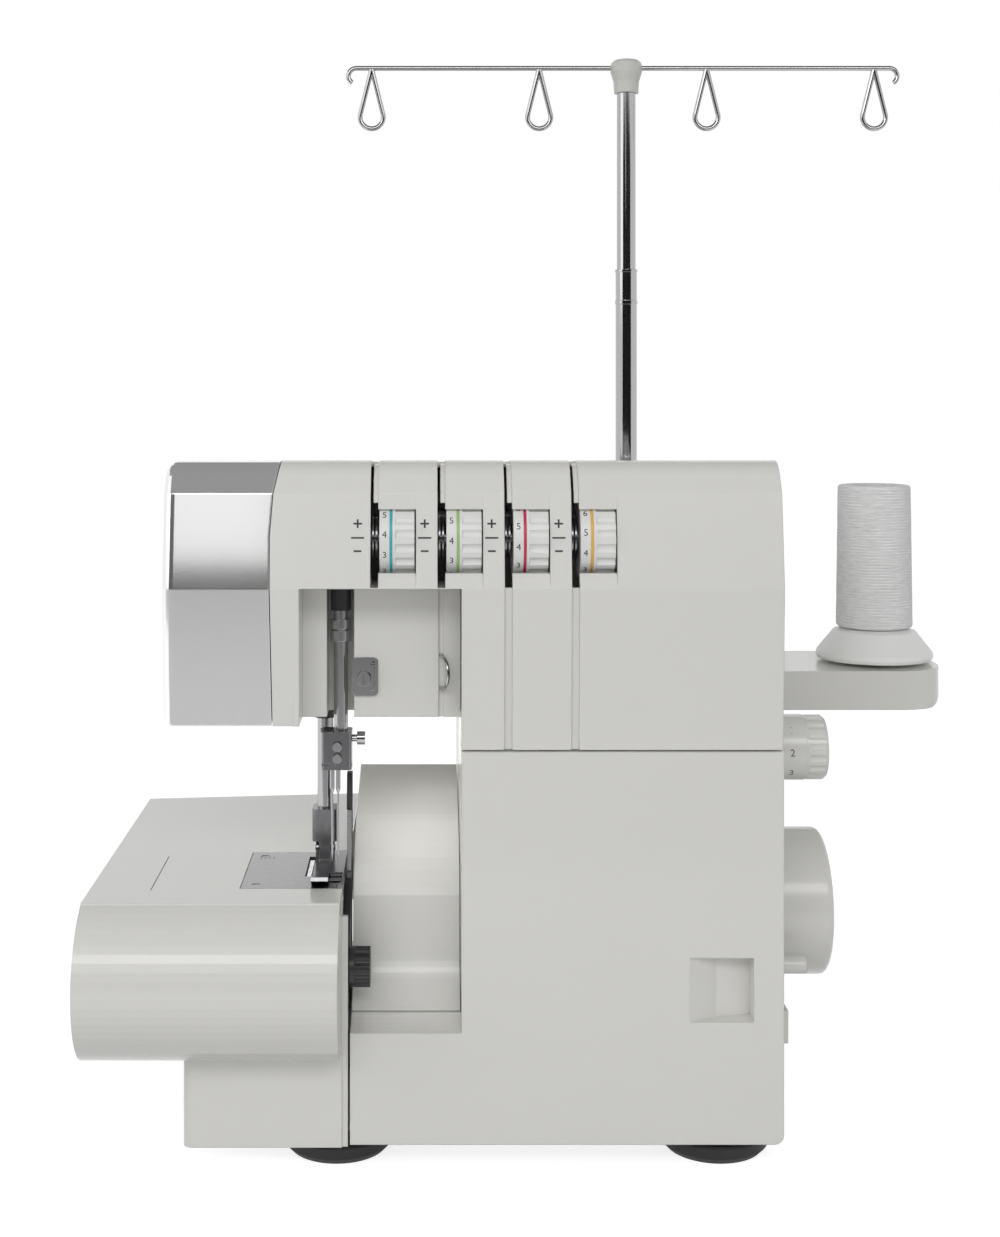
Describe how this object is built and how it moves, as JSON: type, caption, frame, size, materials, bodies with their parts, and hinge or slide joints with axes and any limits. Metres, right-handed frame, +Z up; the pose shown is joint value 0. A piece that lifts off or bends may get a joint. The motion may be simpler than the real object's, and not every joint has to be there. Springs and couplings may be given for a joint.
{
  "type": "overlock sewing machine",
  "caption": "Household overlock (serger) sewing machine with silver end cap, tension dials, looper cover, extension table, telescopic thread guide and spool stand with thread cones.",
  "frame": {"origin": "centre of the whole part's footprint (extension table, casing and spool stand) on the surface that the rubber feet rest on", "axes": "+X to the sewer's right, towards the handwheel; +Y to the back, away from the sewer; +Z up"},
  "size_m": [0.401, 0.254, 0.4919],
  "materials": {
    "shell_white": "smooth gloss off-white moulded plastic",
    "cap_silver": "silver lacquer, gloss",
    "chrome": "bright chrome plate",
    "steel": "fine ground steel",
    "black_plastic": "black moulded plastic",
    "rubber": "matt black rubber",
    "white_plastic": "white moulded plastic",
    "thread": "wound white thread",
    "cast_metal": "as-cast aluminium",
    "bronze": "sintered bronze",
    "motor_paint": "dark painted steel",
    "lens_plastic": "frosted clear plastic"
  },
  "bodies": {
    "machine": {"base_tray": "shell_white", "bed_casing": "shell_white", "chute_wall": "shell_white", "front_casing": "shell_white", "rear_casing": "shell_white", "end_cap": "cap_silver", "needle_plate": "steel", "lower_knife": "steel", "rubber_feet": "rubber", "bar_bushes": "black_plastic", "thread_guides": "chrome", "screws": "steel", "shaft_bushes": "bronze", "motor": "motor_paint", "drive_belt": "rubber", "inner_frame": "cast_metal", "tension_discs": "chrome", "power_inlet": "shell_white", "lamp_lens": "lens_plastic", "spool_stand": "shell_white", "spool_pins": "chrome", "cone_holders": "white_plastic", "mast_lower": "chrome"},
    "main_shaft_unit": {"handwheel": "shell_white", "main_shaft": "steel", "shaft_pulley": "black_plastic"},
    "motor_rotor": {"motor_pulley": "black_plastic"},
    "rocker": {"rocker_shaft": "steel"},
    "needle_unit": {"needle_bar": "chrome", "needle_clamp": "steel", "needles": "chrome", "needle_screws": "chrome"},
    "presser_unit": {"presser_bar": "chrome", "foot_holder": "steel", "presser_foot": "chrome"},
    "lifter": {"presser_lifter": "shell_white"},
    "knife_unit": {"knife_arm": "black_plastic", "upper_knife": "steel", "knife_knob": "black_plastic"},
    "feed": {"feed_dogs": "steel"},
    "looper_up": {"upper_looper": "chrome"},
    "looper_low": {"lower_looper": "chrome"},
    "dial_1": {"tension_dial_1": "white_plastic"},
    "dial_2": {"tension_dial_2": "white_plastic"},
    "dial_3": {"tension_dial_3": "white_plastic"},
    "dial_4": {"tension_dial_4": "white_plastic"},
    "stitch_control": {"stitch_dial": "shell_white"},
    "feed_control": {"feed_lever": "shell_white"},
    "rocker_switch": {"power_switch": "black_plastic"},
    "cover_rod": {"cover_hinge_rod": "steel"},
    "cover": {"looper_cover": "shell_white"},
    "table": {"extension_table": "shell_white"},
    "mast_top": {"mast_upper": "chrome"},
    "guide_head": {"guide_hub": "white_plastic", "guide_wires": "chrome"},
    "cone_1": {"thread_cone_1": "thread"},
    "cone_2": {"thread_cone_2": "thread"},
    "cone_3": {"thread_cone_3": "thread"},
    "cone_4": {"thread_cone_4": "thread"}
  },
  "joints": [
    {"name": "handwheel_turn", "type": "hinge", "parent": "machine", "child": "main_shaft_unit", "pos_m": [0.0875, -0.012, 0.088], "axis": [1, 0, 0], "continuous": true},
    {"name": "motor_turn", "type": "hinge", "parent": "machine", "child": "motor_rotor", "pos_m": [0.0655, 0.015, 0.0475], "axis": [1, 0, 0], "continuous": true},
    {"name": "rocker_swing", "type": "hinge", "parent": "machine", "child": "rocker", "pos_m": [-0.0965, -0.029, 0.264], "axis": [1, 0, 0], "range_deg": [0, 37.3]},
    {"name": "needle_stroke", "type": "slide", "parent": "machine", "child": "needle_unit", "axis": [0, 0, 1], "range_m": [-0.027, 0]},
    {"name": "lifter_swing", "type": "hinge", "parent": "machine", "child": "lifter", "pos_m": [-0.1045, 0.055, 0.226], "axis": [0, -1, 0], "range_deg": [0, 60]},
    {"name": "presser_lift", "type": "slide", "parent": "machine", "child": "presser_unit", "axis": [0, 0, 1], "range_m": [0, 0.0065]},
    {"name": "knife_swing", "type": "hinge", "parent": "machine", "child": "knife_unit", "pos_m": [-0.0948, -0.085, 0.081], "axis": [1, 0, 0], "range_deg": [-75, 0]},
    {"name": "feed_stroke", "type": "slide", "parent": "machine", "child": "feed", "axis": [0, 1, 0], "range_m": [-0.002, 0.002]},
    {"name": "upper_looper_swing", "type": "hinge", "parent": "machine", "child": "looper_up", "pos_m": [-0.1105, -0.069, 0.058], "axis": [0, 1, 0], "range_deg": [-8, 8]},
    {"name": "lower_looper_swing", "type": "hinge", "parent": "machine", "child": "looper_low", "pos_m": [-0.1205, -0.069, 0.066], "axis": [0, 1, 0], "range_deg": [-8, 8]},
    {"name": "tension_dial_1_turn", "type": "hinge", "parent": "machine", "child": "dial_1", "pos_m": [-0.0815, -0.0792, 0.2596], "axis": [1, 0, 0], "range_deg": [-120, 200]},
    {"name": "tension_dial_2_turn", "type": "hinge", "parent": "machine", "child": "dial_2", "pos_m": [-0.0538, -0.0792, 0.2596], "axis": [1, 0, 0], "range_deg": [-120, 200]},
    {"name": "tension_dial_3_turn", "type": "hinge", "parent": "machine", "child": "dial_3", "pos_m": [-0.0261, -0.0792, 0.2596], "axis": [1, 0, 0], "range_deg": [-120, 200]},
    {"name": "tension_dial_4_turn", "type": "hinge", "parent": "machine", "child": "dial_4", "pos_m": [0.0016, -0.0792, 0.2596], "axis": [1, 0, 0], "range_deg": [-120, 200]},
    {"name": "stitch_dial_turn", "type": "hinge", "parent": "machine", "child": "stitch_control", "pos_m": [0.0875, -0.037, 0.163], "axis": [1, 0, 0], "range_deg": [-120, 150]},
    {"name": "feed_lever_swing", "type": "hinge", "parent": "machine", "child": "feed_control", "pos_m": [0.0875, -0.035, 0.072], "axis": [1, 0, 0], "range_deg": [-20, 20]},
    {"name": "power_rocker", "type": "hinge", "parent": "machine", "child": "rocker_switch", "pos_m": [0.093, -0.05, 0.048], "axis": [0, 0, 1], "range_deg": [-10, 0]},
    {"name": "cover_shift", "type": "slide", "parent": "machine", "child": "cover_rod", "axis": [1, 0, 0], "range_m": [0, 0.006]},
    {"name": "cover_open", "type": "hinge", "parent": "cover_rod", "child": "cover", "pos_m": [-0.0455, -0.0886, 0.02], "axis": [1, 0, 0], "range_deg": [0, 80]},
    {"name": "table_slide", "type": "slide", "parent": "machine", "child": "table", "axis": [1, 0, 0], "range_m": [-0.11, 0]},
    {"name": "mast_slide", "type": "slide", "parent": "machine", "child": "mast_top", "axis": [0, 0, 1], "range_m": [-0.09, 0]},
    {"name": "guide_turn", "type": "hinge", "parent": "mast_top", "child": "guide_head", "pos_m": [0.04288, 0.093, 0.487], "axis": [0, 0, 1], "range_deg": [-90, 90]},
    {"name": "cone_1_lift", "type": "slide", "parent": "machine", "child": "cone_1", "axis": [0, 0, 1], "range_m": [0, 0.06]},
    {"name": "cone_2_lift", "type": "slide", "parent": "machine", "child": "cone_2", "axis": [0, 0, 1], "range_m": [0, 0.06]},
    {"name": "cone_3_lift", "type": "slide", "parent": "machine", "child": "cone_3", "axis": [0, 0, 1], "range_m": [0, 0.06]},
    {"name": "cone_4_lift", "type": "slide", "parent": "machine", "child": "cone_4", "axis": [0, 0, 1], "range_m": [0, 0.06]}
  ],
  "couplings": [
    {"joint": "motor_turn", "follows": "handwheel_turn", "ratio": 4},
    {"joint": "rocker_swing", "follows": "needle_stroke", "rad_per_m": -24.11},
    {"joint": "lifter_swing", "follows": "presser_lift", "rad_per_m": 161.1}
  ]
}
